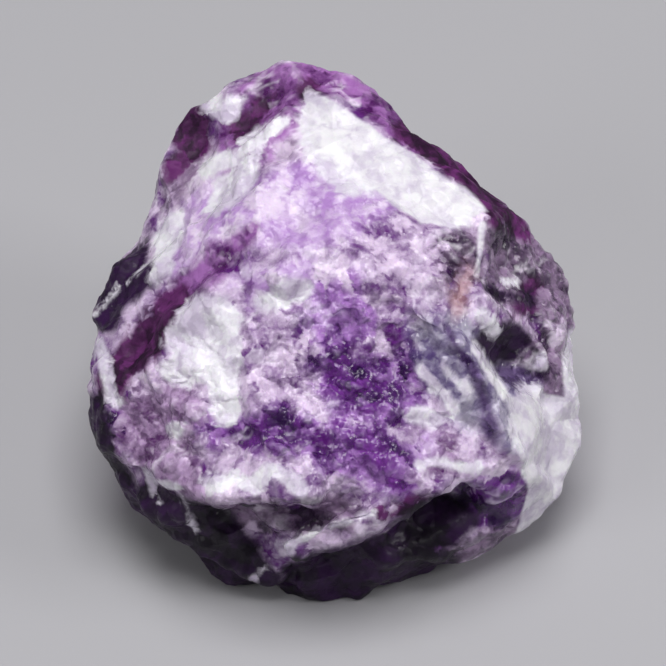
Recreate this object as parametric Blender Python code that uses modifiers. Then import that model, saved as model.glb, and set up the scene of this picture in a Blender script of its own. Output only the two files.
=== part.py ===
"""Rough amethyst: one broken lump of crystalline quartz, modelled as a single closed solid.

The lump is laid out square to its broad broken face: places are (across, up, out of that face), in
millimetres from the middle of the lump. The finished lump is tipped back until the broad face slopes up
from the table and the lump lies on its level fracture base.
"""

import math
import random
from dataclasses import dataclass

import bmesh
import bpy
from mathutils import Matrix, Vector, kdtree, noise

MM = 0.001

# How the lump lies. The broad face slopes up from level, and the level base is this far under the middle.
FACE_SLOPE = math.radians(45)
BASE_DROP = 12.5

# Corners of the broken faces, before ledges stand out of them and hollows are knocked into them.
CORNERS = {
    # The crown, and the sharp rim that runs down from it to the shoulder.
    "crown_tip": (-3.6, 19.2, -2.2),
    "crown_right": (0.8, 18.2, -2.0),
    "crown_inner": (-1.4, 16.9, 1.0),
    "rim_mid": (5.0, 13.4, 3.0),
    "shoulder": (10.6, 8.7, 5.0),
    # The brow, where the level top face turns down into the broad face.
    "brow_left": (-6.8, 5.4, 8.0),
    "brow_mid": (1.5, 5.6, 9.2),
    # The broad face's right-hand edge, from the shoulder to the frosted foot.
    "cheek": (10.3, 1.0, 8.2),
    "lens_foot": (13.6, -8.4, 6.8),
    # The broad face's lower half, down to its lip.
    "patch_top": (-9.4, 2.0, 8.4),
    "belly": (-2.0, -6.0, 10.8),
    "lip_right": (6.5, -10.9, 10.2),
    "lip_left": (-9.2, -10.8, 8.6),
    # The left side, from the low tip up to the crown.
    "left_low": (-15.6, -9.0, 4.8),
    "left_tip": (-17.7, -4.2, 2.8),
    "left_back": (-16.6, 1.0, -3.0),
    "left_top": (-11.8, 13.2, -2.4),
    "left_notch": (-11.0, 15.4, -3.2),
    "left_crown": (-8.0, 17.0, -2.2),
    # The outline of the darker right side, which falls away behind the rim.
    "rim_back": (5.0, 14.8, -1.6),
    "rim_low": (8.8, 11.6, -0.8),
    "right_high": (13.8, 7.6, -2.0),
    "right_mid": (17.8, 1.4, -4.2),
    "right_low": (17.2, -7.0, -1.6),
    "right_foot": (16.0, -11.8, 0.8),
    # The underside, down to the base.
    "under_right": (9.4, -15.6, -0.6),
    "foot": (1.6, -19.2, 1.5),
    "foot_left": (-7.0, -17.4, 1.0),
    "under_left": (-14.4, -13.2, 0.0),
    # The back.
    "back_crown": (-2.0, 15.0, -9.6),
    "back_left": (-14.0, 3.0, -9.2),
    "back_low_left": (-13.6, -7.6, -11.0),
    "back_right": (12.4, 5.6, -10.6),
    "back_low_right": (13.6, -8.6, -10.4),
    "back_ridge": (0.5, 4.5, -15.2),
    # Below the base, so that the level cut under the lump is broad.
    "base_back": (1.0, -5.5, -17.2),
    "base_left": (-11.0, -10.5, -9.0),
    "base_right": (11.5, -11.5, -8.4),
}

# Ledges and splinters that stand out of the lump, each the closed shape around a few corners.
LEDGES = {
    "white_ledge": (
        (-9.4, -9.0, 7.4),
        (-9.0, -11.4, 9.9),
        (-5.0, -8.2, 10.2),
        (-5.2, -11.8, 11.4),
        (-1.0, -8.6, 10.4),
        (-1.4, -11.2, 11.7),
        (-9.0, -12.4, 6.0),
        (-1.0, -12.4, 6.0),
    ),
    "slant_ledge": (
        (3.4, -11.8, 10.8),
        (3.6, -13.2, 9.4),
        (-0.5, -13.0, 10.1),
        (-4.8, -15.6, 8.1),
        (-5.4, -17.0, 5.4),
        (-2.0, -16.2, 6.8),
        (0.0, -13.0, 4.0),
        (-3.0, -16.0, 2.0),
    ),
    "left_flake": (
        (-17.0, 0.6, 0.4),
        (-16.8, 1.8, -0.6),
        (-14.8, 5.2, -0.6),
        (-13.2, 6.6, -1.2),
        (-12.8, 4.0, 1.4),
        (-15.0, 0.0, 2.0),
        (-13.0, 2.0, -4.0),
    ),
}


@dataclass(frozen=True)
class Hollow:
    """A deep hollow, knocked out by a flattened ball that opens one way, turned about it in degrees."""

    centre: tuple
    opens: tuple
    half_sizes: tuple
    turn: float


HOLLOWS = {
    "dark_cave": Hollow((8.4, -14.2, 7.8), (0.10, -0.72, 0.69), (5.4, 2.5, 5.6), 10),
    "under_scoop": Hollow((-8.0, -15.0, 7.4), (-0.14, -0.75, 0.66), (8.0, 2.8, 3.2), -16),
    "side_pit": Hollow((13.9, -1.7, 4.6), (0.75, 0.05, 0.66), (3.4, 2.2, 2.6), 60),
}
HOLLOW_ROUGHNESS = 0.22
HOLLOW_GRAIN = 1.6


@dataclass(frozen=True)
class Oval:
    """An oval on the broad face, seen square on, turned anticlockwise from lying across it, in degrees."""

    across: float
    up: float
    half_length: float
    half_width: float
    turn: float

    def distance(self, place):
        """0 in the middle of the oval and 1 on its outline."""
        angle = math.radians(self.turn)
        right = place.x - self.across
        above = place.y - self.up
        along = (right * math.cos(angle) + above * math.sin(angle)) / self.half_length
        aside = (above * math.cos(angle) - right * math.sin(angle)) / self.half_width
        return math.hypot(along, aside)


@dataclass(frozen=True)
class Dish:
    """A shallow conchoidal dish. It keeps this share of the grain, 0 on a glassy break."""

    oval: Oval
    depth: float
    grain_kept: float


DISHES = {
    "crown_glare": Dish(Oval(0.4, 13.4, 6.8, 3.6, -48), 0.8, 0.2),
    "shoulder_glare": Dish(Oval(6.8, 9.4, 4.4, 3.0, -38), 0.7, 0.2),
    "lilac_middle": Dish(Oval(-2.6, 8.4, 4.6, 2.6, 20), 0.5, 0.4),
    "crown_left": Dish(Oval(-5.4, 15.6, 2.6, 1.5, 40), 0.7, 0.8),
    "crown_spot": Dish(Oval(-9.9, 13.6, 2.2, 1.5, 75), 0.9, 0.6),
    "left_facet": Dish(Oval(-10.4, 8.6, 6.8, 3.4, 62), 1.0, 0.4),
    "white_patch": Dish(Oval(-9.2, -1.4, 4.8, 2.6, 62), 0.8, 0.5),
    "grain_bed": Dish(Oval(-2.2, -3.0, 5.2, 4.2, 70), 0.7, 1.0),
    "lens": Dish(Oval(5.6, -4.6, 6.2, 3.4, -58), 1.2, 0.6),
    "frosted_foot": Dish(Oval(14.4, -7.6, 4.6, 1.8, -66), 0.6, 0.3),
    "left_mauve": Dish(Oval(-13.2, -6.8, 3.0, 2.4, 20), 0.5, 1.0),
    "side_upper": Dish(Oval(13.6, 4.8, 4.4, 2.4, -40), 0.7, 0.8),
}


@dataclass(frozen=True)
class Seam:
    """A ridge (height above 0) or groove (below 0) along a line of (across, up) places on the broad face."""

    height: float
    half_width: float
    line: tuple


GROOVE_LINE = ((-5.4, 6.8), (-9.2, 4.1), (-11.7, 2.2), (-13.6, -0.2), (-15.8, -2.8))
SEAMS = {
    "maroon_groove": Seam(-1.7, 1.5, GROOVE_LINE),
    "lens_ridge": Seam(0.8, 0.6, ((4.4, 2.0), (8.4, -1.0), (10.4, -4.2), (11.8, -8.6))),
    "streak_ridge": Seam(0.6, 0.5, ((5.2, -0.8), (7.4, -3.6), (9.0, -7.2))),
    "under_ridge": Seam(0.8, 0.7, ((-15.0, -10.2), (-9.6, -13.0), (-4.4, -14.2))),
    "foot_ridge": Seam(0.7, 0.6, ((-12.8, -12.8), (-8.0, -15.4), (-2.4, -17.6))),
    "right_foot_ridge": Seam(0.6, 0.6, ((2.0, -16.0), (7.0, -15.2), (12.4, -12.6))),
}
SEAM_END = 0.15


@dataclass(frozen=True)
class CleanEdge:
    """An edge that broke cleanly: its line, and how far the clean strip reaches to either side."""

    line: tuple
    reach: float


CLEAN_EDGES = {
    "rim": CleanEdge(((-3.4, 18.6), (0.4, 17.6), (5.0, 13.8), (10.8, 8.6)), 2.2),
    "cheek_edge": CleanEdge(((10.8, 8.6), (10.2, 4.0), (10.4, 1.0)), 1.1),
    "right_outline": CleanEdge(((11.2, 8.8), (14.4, 6.6), (17.6, 1.4)), 1.6),
    "foot_outline": CleanEdge(((17.4, -2.0), (16.8, -8.0), (15.8, -11.6), (9.6, -15.2)), 1.8),
    "left_outline": CleanEdge(((-3.6, 19.0), (-11.0, 15.2), (-12.0, 12.6), (-16.8, 1.4)), 1.4),
    "groove": CleanEdge(GROOVE_LINE, 1.8),
    "white_ledge": CleanEdge(((-9.2, -10.2), (-1.2, -10.0)), 1.9),
    "slant_ledge": CleanEdge(((3.4, -12.4), (-5.2, -16.4)), 1.5),
}
CLEAN_GRAIN = 0.15


@dataclass(frozen=True)
class Scoop:
    """A round scoop out of the sides or the back."""

    centre: tuple
    radius: float
    depth: float


SCOOPS = (
    Scoop((4.0, 11.0, -11.0), 8.0, 1.5),
    Scoop((-9.0, 9.0, -8.0), 7.0, 1.2),
    Scoop((-6.0, -2.0, -14.0), 7.5, 1.4),
    Scoop((8.5, -1.0, -12.5), 7.0, 1.3),
    Scoop((16.0, -2.0, -6.0), 6.0, 1.1),
    Scoop((-16.0, -4.0, -5.0), 6.0, 1.1),
    Scoop((12.0, 9.0, -6.0), 5.0, 0.9),
    Scoop((-12.0, -12.0, -3.0), 5.0, 0.9),
    Scoop((-16.8, 9.0, -2.0), 5.0, 1.9),
)

# The broken faces are made of crystals, each with its own flat face: how far apart they are, how steeply a
# face tilts, and the seed of their places. The middle of the broad face is a bed of steeper small crystals.
# The coarse ones meet in sharp ridges, where the lowest of this many faces shows. The jitter is how far a
# crystal may lie from its place in an even lattice, as a share of the spacing.
CRYSTAL_JITTER = 0.45
COARSE_SPACING = 4.8
COARSE_TILT = 0.20
COARSE_SEED = 7
CREASED_FACES = 4
FINE_SPACING = 1.9
FINE_TILT = 0.14
FINE_SEED = 19
CRYSTAL_BED = Oval(0.4, -3.6, 8.0, 5.6, 70)
CRYSTAL_BED_TILT = 0.34
CRYSTAL_REACH = 22

# How far the relief as a whole stands out, so that its middle lies on the corners' faces.
LIFT = 0.3

# The slow unevenness of every face: its height, its humps in a millimetre, and how finer humps add to it.
SWELL = 0.35
SWELL_FINENESS = 0.11
SWELL_DIMENSION = 0.9
SWELL_LACUNARITY = 2.0
SWELL_OCTAVES = 3

# How far the outlines of crystals and of marks wander, and how many humps in a millimetre that has.
CRYSTAL_WANDER = 0.7
CRYSTAL_WANDER_FINENESS = 0.35
MARK_WANDER = 0.5
MARK_WANDER_FINENESS = 0.5
NOISE_SEED = 3

# Where a thing sets in, from none to all of it: the broad face's marks, over these upward parts of a face's
# direction, the crystal bed and a dish, in shares of their ovals, and grain beside a clean edge, in shares of
# the clean strip's reach.
MARKS_SET_IN = (0.05, 0.3)
BED_SETS_IN = (1.1, 0.75)
DISH_SETS_IN = (1.0, 0.8)
GRAIN_SETS_IN = (0.4, 1.0)

RELIEF_VOXEL = 0.45
FINISHED_VOXEL = 0.36
WANTED_TRIANGLES = 7200
BASE_CUTTER_SIZE = 100

AMETHYST_COLOUR = (0.36, 0.22, 0.48, 1.0)
AMETHYST_ROUGHNESS = 0.32


class Crystals:
    """Crystals scattered through the lump, each of which broke off along its own flat face."""

    def __init__(self, spacing, seed):
        draw = random.Random(seed)
        count = math.ceil(CRYSTAL_REACH / spacing)
        steps = range(-count, count + 1)
        self.centres = []
        self.tilts = []
        for cell in ((i, j, k) for i in steps for j in steps for k in steps):
            jitter = Vector([draw.uniform(-CRYSTAL_JITTER, CRYSTAL_JITTER) for _ in range(3)])
            self.centres.append((Vector(cell) + jitter) * spacing)
            self.tilts.append(Vector([draw.gauss(0, 1) for _ in range(3)]).normalized())
        self.tree = kdtree.KDTree(len(self.centres))
        for index, centre in enumerate(self.centres):
            self.tree.insert(centre, index)
        self.tree.balance()

    def stepped(self, place):
        """How far the nearest crystal's face stands out here, for a tilt of 1."""
        _, nearest, _ = self.tree.find(place)
        return self.tilts[nearest].dot(place - self.centres[nearest])

    def creased(self, place):
        """How far the lowest of the faces around stands out here, for a tilt of 1. These meet in ridges."""
        around = self.tree.find_n(place, CREASED_FACES)
        return min(self.tilts[index].dot(place - self.centres[index]) for _, index, _ in around)


def clear_scene():
    for old in list(bpy.data.objects):
        bpy.data.objects.remove(old, do_unlink=True)


def new_collection(name):
    made = bpy.data.collections.new(name)
    bpy.context.scene.collection.children.link(made)
    return made


def new_object(name, shape, home, parent=None):
    mesh = bpy.data.meshes.new(name)
    shape.to_mesh(mesh)
    shape.free()
    made = bpy.data.objects.new(name, mesh)
    made.parent = parent
    home.objects.link(made)
    return made


def hull_around(corners):
    """The closed convex shape around the given corners."""
    shape = bmesh.new()
    for corner in corners:
        shape.verts.new(Vector(corner) * MM)
    hull = bmesh.ops.convex_hull(shape, input=shape.verts)
    inside = [found for found in hull["geom_interior"] if isinstance(found, bmesh.types.BMVert)]
    bmesh.ops.delete(shape, geom=inside, context="VERTS")
    bmesh.ops.recalc_face_normals(shape, faces=shape.faces)
    return shape


def rough_ball(hollow):
    """The flattened, angular ball that knocks out one hollow."""
    shape = bmesh.new()
    bmesh.ops.create_icosphere(shape, subdivisions=2, radius=1.0)
    for vert in shape.verts:
        vert.co *= 1 + HOLLOW_ROUGHNESS * noise.noise(vert.co * HOLLOW_GRAIN + Vector(hollow.centre))
    bmesh.ops.scale(shape, vec=Vector(hollow.half_sizes) * MM, verts=shape.verts)
    return shape


def combine(stone, helper, operation):
    """Joins the helper to the stone or cuts it away, and keeps the helper itself out of the model."""
    helper.hide_render = True
    helper.display_type = "WIRE"
    step = stone.modifiers.new(helper.name, "BOOLEAN")
    step.operation = operation
    step.object = helper


def add_ledges(stone, helpers):
    for name, corners in LEDGES.items():
        combine(stone, new_object(name, hull_around(corners), helpers, stone.parent), "UNION")


def cut_hollows(stone, helpers):
    for name, hollow in HOLLOWS.items():
        cutter = new_object(name, rough_ball(hollow), helpers, stone.parent)
        opens = Vector(hollow.opens).to_track_quat("Z", "Y").to_matrix().to_4x4()
        turn = Matrix.Rotation(math.radians(hollow.turn), 4, "Z")
        cutter.matrix_basis = Matrix.Translation(Vector(hollow.centre) * MM) @ opens @ turn
        combine(stone, cutter, "DIFFERENCE")


def settle(stone):
    """Carries out the object's modifiers on its mesh."""
    bpy.context.view_layer.update()
    shaped = stone.evaluated_get(bpy.context.evaluated_depsgraph_get())
    mesh = bpy.data.meshes.new_from_object(shaped)
    stone.modifiers.clear()
    stone.data = mesh


def ease(start, end, value):
    """0 on start's side, 1 on end's side and smooth between them."""
    share = min(max((value - start) / (end - start), 0.0), 1.0)
    return share * share * (3 - 2 * share)


def measure_to(line, place):
    """How far the place is from the line, seen square on, and how far along the line that is, from 0 to 1."""
    flat = place.to_2d()
    nearest, share_along = math.inf, 0.0
    for count, (start, end) in enumerate(zip(map(Vector, line[:-1]), map(Vector, line[1:]), strict=True)):
        run = end - start
        share = min(max((flat - start).dot(run) / run.length_squared, 0), 1)
        away = (flat - start - run * share).length
        if away < nearest:
            nearest, share_along = away, (count + share) / (len(line) - 1)
    return nearest, share_along


def marks_at(place):
    """What the dishes and seams of the broad face add here, in millimetres."""
    relief = 0.0
    for dish in DISHES.values():
        relief -= dish.depth * max(0.0, 1 - dish.oval.distance(place) ** 2)
    for seam in SEAMS.values():
        away, along = measure_to(seam.line, place)
        ends = ease(0, SEAM_END, along) * ease(0, SEAM_END, 1 - along)
        relief += seam.height * ends * max(0.0, 1 - away / seam.half_width)
    return relief


def grain_kept_at(place):
    """The share of the crystals' relief that shows here: little in a glassy dish and along a clean edge."""
    kept = 1.0
    for dish in DISHES.values():
        kept = min(kept, 1 - (1 - dish.grain_kept) * ease(*DISH_SETS_IN, dish.oval.distance(place)))
    for edge in CLEAN_EDGES.values():
        away, _ = measure_to(edge.line, place)
        kept = min(kept, CLEAN_GRAIN + (1 - CLEAN_GRAIN) * ease(*GRAIN_SETS_IN, away / edge.reach))
    return kept


def roughen(mesh):
    """Moves the even faces of the lump in and out, to the relief of a broken mass of crystals."""
    coarse = Crystals(COARSE_SPACING, COARSE_SEED)
    fine = Crystals(FINE_SPACING, FINE_SEED)
    shape = bmesh.new()
    shape.from_mesh(mesh)
    shape.normal_update()
    moves = []
    for vert in shape.verts:
        place = vert.co / MM
        crystal_place = place + noise.noise_vector(place * CRYSTAL_WANDER_FINENESS) * CRYSTAL_WANDER
        mark_place = place + noise.noise_vector(place * MARK_WANDER_FINENESS) * MARK_WANDER
        faces_out = ease(*MARKS_SET_IN, vert.normal.z)
        in_bed = ease(*BED_SETS_IN, CRYSTAL_BED.distance(mark_place)) * faces_out
        fine_tilt = FINE_TILT + (CRYSTAL_BED_TILT - FINE_TILT) * in_bed
        crystals = COARSE_TILT * coarse.creased(crystal_place) + fine_tilt * fine.stepped(crystal_place)
        relief = crystals * grain_kept_at(mark_place) + marks_at(mark_place) * faces_out
        swell = noise.fractal(place * SWELL_FINENESS, SWELL_DIMENSION, SWELL_LACUNARITY, SWELL_OCTAVES)
        relief += LIFT + SWELL * swell
        for scoop in SCOOPS:
            away = (mark_place - Vector(scoop.centre)).length / scoop.radius
            relief -= scoop.depth * max(0.0, 1 - away * away)
        moves.append(vert.normal * relief * MM)
    for vert, move in zip(shape.verts, moves, strict=True):
        vert.co += move
    shape.to_mesh(mesh)
    shape.free()


def even_out(stone, voxel):
    """Gives the lump faces of one even size, none of which cross."""
    even = stone.modifiers.new("even_faces", "REMESH")
    even.mode = "VOXEL"
    even.voxel_size = voxel * MM
    settle(stone)
    drop_crumbs(stone.data)


def drop_crumbs(mesh):
    """Leaves only the largest of the closed surfaces in the mesh."""
    shape = bmesh.new()
    shape.from_mesh(mesh)
    left = set(shape.verts)
    surfaces = []
    while left:
        surface = {left.pop()}
        edge_of_it = list(surface)
        while edge_of_it:
            found = {edge.other_vert(vert) for vert in edge_of_it for edge in vert.link_edges} & left
            surface |= found
            left -= found
            edge_of_it = list(found)
        surfaces.append(surface)
    surfaces.sort(key=len)
    for crumb in surfaces[:-1]:
        bmesh.ops.delete(shape, geom=list(crumb), context="VERTS")
    shape.to_mesh(mesh)
    shape.free()


def thin_out(stone):
    """Leaves as many triangles as the relief needs. Each of the even faces is a square, so two triangles."""
    thin = stone.modifiers.new("fewer_faces", "DECIMATE")
    thin.ratio = WANTED_TRIANGLES / (2 * len(stone.data.polygons))


def cut_base(stone, helpers):
    """Cuts the lump off level where it rests."""
    shape = bmesh.new()
    bmesh.ops.create_cube(shape, size=BASE_CUTTER_SIZE * MM)
    cutter = new_object("base_plane", shape, helpers)
    cutter.location.z = -BASE_CUTTER_SIZE * MM / 2
    combine(stone, cutter, "DIFFERENCE")


def centre_over_origin(stone):
    """Slides the lump along the table until the middle of its box, seen from above, is over the origin."""
    bpy.context.view_layer.update()
    shaped = stone.evaluated_get(bpy.context.evaluated_depsgraph_get())
    places = [shaped.matrix_world @ vert.co for vert in shaped.data.vertices]
    for axis in (0, 1):
        reach = [place[axis] for place in places]
        stone.parent.location[axis] -= (min(reach) + max(reach)) / 2


def amethyst():
    material = bpy.data.materials.new("amethyst")
    material.use_nodes = True
    shader = material.node_tree.nodes["Principled BSDF"]
    shader.inputs["Base Color"].default_value = AMETHYST_COLOUR
    shader.inputs["Roughness"].default_value = AMETHYST_ROUGHNESS
    shader.inputs["Metallic"].default_value = 0.0
    return material


def main():
    clear_scene()
    noise.seed_set(NOISE_SEED)
    home = new_collection("rough_amethyst")
    helpers = new_collection("ledges_and_cutters")
    broad_face = bpy.data.objects.new("broad_face", None)
    broad_face.location.z = BASE_DROP * MM
    broad_face.rotation_euler.x = FACE_SLOPE
    home.objects.link(broad_face)
    stone = new_object("amethyst_stone", hull_around(CORNERS.values()), home, broad_face)
    add_ledges(stone, helpers)
    cut_hollows(stone, helpers)
    even_out(stone, RELIEF_VOXEL)
    roughen(stone.data)
    even_out(stone, FINISHED_VOXEL)
    thin_out(stone)
    cut_base(stone, helpers)
    centre_over_origin(stone)
    stone.data.materials.append(amethyst())


main()
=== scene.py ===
"""The looks of the rough amethyst: one broken lump of purple quartz on a pale floor, in soft studio light."""

import itertools
import logging
import math
from collections.abc import Iterable, Mapping
from dataclasses import dataclass
from enum import Enum

import bpy
import numpy as np
from mathutils import Color, Matrix, Vector


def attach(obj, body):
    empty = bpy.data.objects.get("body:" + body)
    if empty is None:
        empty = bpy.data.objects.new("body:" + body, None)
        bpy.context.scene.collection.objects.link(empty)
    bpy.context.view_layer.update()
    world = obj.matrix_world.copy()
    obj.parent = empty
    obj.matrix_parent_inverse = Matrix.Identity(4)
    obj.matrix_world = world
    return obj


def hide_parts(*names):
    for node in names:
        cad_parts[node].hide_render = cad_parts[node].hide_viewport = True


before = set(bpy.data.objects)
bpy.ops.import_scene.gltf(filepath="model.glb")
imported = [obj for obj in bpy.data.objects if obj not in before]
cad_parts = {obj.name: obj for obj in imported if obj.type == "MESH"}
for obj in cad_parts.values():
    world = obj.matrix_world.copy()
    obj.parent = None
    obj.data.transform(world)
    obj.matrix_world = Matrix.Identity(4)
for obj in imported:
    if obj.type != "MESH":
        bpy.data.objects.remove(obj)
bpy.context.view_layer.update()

MM = 0.001
NODE = "amethyst_stone"

# Where the lump's middle is in the frame, in millimetres, and how far its broad face leans back. Places on
# the lump are (across, up, out) of that face, in millimetres from the middle.
LUMP_CENTRE = (-0.0258, -0.1769, 12.5)
FACE_SLOPE = math.radians(45)

# How far the lump reaches from its middle, in millimetres. Noise and the lattices that crystals grow from
# have this many cells to spare beyond it.
LUMP_REACH = 27.0
NOISE_MARGIN = 2
LATTICE_MARGIN = 3

# The broad face's patches end where the lump turns away to the back, over this span out of that face. There
# they are this many millimetres less deep.
BACK_FROM = -3.5
BACK_TO = -7.0
BACK_LOSS = 4.0

# A place outside every patch counts as this many millimetres deep in one.
OUTSIDE = -2.0

# Noise and a random colour's parts go from 0 to 1 around this middle.
MIDDLE = 0.5

# A screen shows the brightest red, green or blue at this step.
SCREEN_STEPS = 255

log = logging.getLogger("rough_amethyst")


class Zone(Enum):
    """The kinds of crystal that show on the lump, in the order in which they are laid over each other. Some
    zones also carry painted shade or painted light, as noted at their patches.
    """

    MAUVE = "mauve"
    SMOKE = "smoke"
    LILAC = "lilac"
    VIOLET = "violet"
    ORCHID = "orchid"
    DEEP = "deep"
    GLASS = "glass"
    INDIGO = "indigo"
    PLUM = "plum"
    # Dark violet crystal. Where it lies on the under faces, in the cave and on the left flank, it is painted
    # shade.
    INK_AND_SHADE = "ink_and_shade"
    # Frosted white quartz, partly painted glare, and painted light caught on ledge tops and edges.
    FROST_AND_GLARE = "frost_and_glare"
    # Clean white facets: frosted quartz and painted glare of the overhead light.
    SNOW_AND_GLARE = "snow_and_glare"
    RUST = "rust"


class Mark(Enum):
    """What else the mesh keeps at each of its points for the material."""

    COARSE_TONE = "coarse_tone"
    FINE_TONE = "fine_tone"
    OUTLINE = "outline"
    # How far each point stands out of its surroundings. The material paints shade in hollows and highlights
    # on edges from it.
    RELIEF = "relief"


class Unevenness:
    """Smooth seeded noise through the lump, about from -1 to 1."""

    def __init__(self, size: float, seed: int, parts: int = 1) -> None:
        """Draws the noise.

        Args:
            size: The size of one hump, in millimetres.
            seed: The seed of the draw.
            parts: How many numbers the noise gives at each place.
        """
        self.size = size
        self.middle = math.ceil(LUMP_REACH / size) + NOISE_MARGIN
        side = 2 * self.middle + 1
        self.values = np.random.default_rng(seed).uniform(-1, 1, (side, side, side, parts))

    def at(self, places: np.ndarray) -> np.ndarray:
        """Reads the noise.

        Args:
            places: The places, in millimetres, one a row.

        Returns:
            The noise at each place, one row a place with one column for each part.
        """
        cells = places / self.size + self.middle
        low = np.floor(cells).astype(int)
        share = cells - low
        share = share * share * (3 - 2 * share)
        total = np.zeros((len(places), self.values.shape[-1]))
        for corner in itertools.product((0, 1), repeat=3):
            weight = np.where(corner, share, 1 - share).prod(axis=1)
            total += weight[:, None] * self.values[tuple((low + corner).T)]
        return total


@dataclass(frozen=True)
class Oval:
    """An oval patch on the broad face, seen square on, in millimetres and degrees.

    Args:
        across: The middle's place across the face.
        up: The middle's place up the face.
        half_length: Half of the longer side.
        half_width: Half of the shorter side.
        turn: How far the longer side is turned anticlockwise from lying across.
    """

    across: float
    up: float
    half_length: float
    half_width: float
    turn: float = 0.0

    def depth(self, places: np.ndarray) -> np.ndarray:
        """Measures how far inside the patch places are.

        Args:
            places: The (across, up, out) places, one a row.

        Returns:
            About how many millimetres inside each place is, and less than 0 outside.
        """
        angle = math.radians(self.turn)
        right, above = places[:, 0] - self.across, places[:, 1] - self.up
        along = (right * math.cos(angle) + above * math.sin(angle)) / self.half_length
        aside = (above * math.cos(angle) - right * math.sin(angle)) / self.half_width
        return (1 - np.hypot(along, aside)) * self.half_width - behind(places)


@dataclass(frozen=True)
class Streak:
    """A patch along a line on the broad face.

    Args:
        half_width: How far the patch reaches to either side of the line.
        line: The (across, up) places that the line joins.
    """

    half_width: float
    line: tuple[tuple[float, float], ...]

    def depth(self, places: np.ndarray) -> np.ndarray:
        """Measures how far inside the streak places are.

        Args:
            places: The (across, up, out) places, one a row.

        Returns:
            How many millimetres inside each place is, and less than 0 outside.
        """
        nearest = np.full(len(places), np.inf)
        for start, end in itertools.pairwise(np.array(self.line)):
            run = end - start
            share = np.clip((places[:, :2] - start) @ run / (run @ run), 0, 1)
            away = np.linalg.norm(places[:, :2] - start - share[:, None] * run, axis=1)
            nearest = np.minimum(nearest, away)
        return self.half_width - nearest - behind(places)


@dataclass(frozen=True)
class Facet:
    """A patch with straight edges on the broad face.

    Args:
        corners: Its (across, up) corners, anticlockwise, with none that points inwards.
    """

    corners: tuple[tuple[float, float], ...]

    def depth(self, places: np.ndarray) -> np.ndarray:
        """Measures how far inside the facet places are.

        Args:
            places: The (across, up, out) places, one a row.

        Returns:
            How many millimetres inside each place is, and less than 0 outside.
        """
        nearest = np.full(len(places), np.inf)
        outline = np.array((*self.corners, self.corners[0]))
        for start, end in itertools.pairwise(outline):
            run = (end - start) / np.linalg.norm(end - start)
            away = places[:, :2] - start
            nearest = np.minimum(nearest, run[0] * away[:, 1] - run[1] * away[:, 0])
        return nearest - behind(places)


@dataclass(frozen=True)
class Cloud:
    """Patches of no set outline on the sides and the back, which the photographed face doesn't show.

    Args:
        size: The size of one patch, in millimetres.
        rarity: From -1, where all of the back is patch, to 1, where none is.
        seed: The seed of their places.
        banding: How much the patches are squeezed across, up and out of the broad face.
        broad: How strong the noise of the patches' own size is.
        narrow: How strong the finer noise in it is.
        narrow_size: The size of that finer noise, as a share of a patch.
        steepness: How deep, as a share of a patch's size, one step of the noise is.
    """

    size: float
    rarity: float
    seed: int
    banding: tuple[float, float, float] = (0.7, 1.2, 1.0)
    broad: float = 0.75
    narrow: float = 0.4
    narrow_size: float = 0.35
    steepness: float = 0.6

    def depth(self, places: np.ndarray) -> np.ndarray:
        """Measures how far inside the patches places are.

        Args:
            places: The (across, up, out) places, one a row.

        Returns:
            About how many millimetres inside a patch each place is, and less than 0 outside.
        """
        banded = places * np.array(self.banding)
        noise = self.broad * Unevenness(self.size, self.seed).at(banded)[:, 0]
        noise += self.narrow * Unevenness(self.size * self.narrow_size, self.seed + 1).at(banded)[:, 0]
        return (noise - self.rarity) * self.size * self.steepness - (BACK_LOSS - behind(places))


Patch = Oval | Streak | Facet | Cloud


def behind(places: np.ndarray) -> np.ndarray:
    """0 on the broad face and its rim, rising to BACK_LOSS where the lump turns away to the back."""
    return BACK_LOSS * np.clip((BACK_FROM - places[:, 2]) / (BACK_FROM - BACK_TO), 0, 1)


def depth_of(patches: Iterable[Patch], places: np.ndarray) -> np.ndarray:
    """Measures how far inside the nearest of several patches places are.

    Args:
        patches: The patches.
        places: The (across, up, out) places, one a row.

    Returns:
        How many millimetres inside a patch each place is, down to OUTSIDE.
    """
    deepest = np.full(len(places), OUTSIDE)
    for patch in patches:
        deepest = np.maximum(deepest, patch.depth(places))
    return deepest
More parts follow.
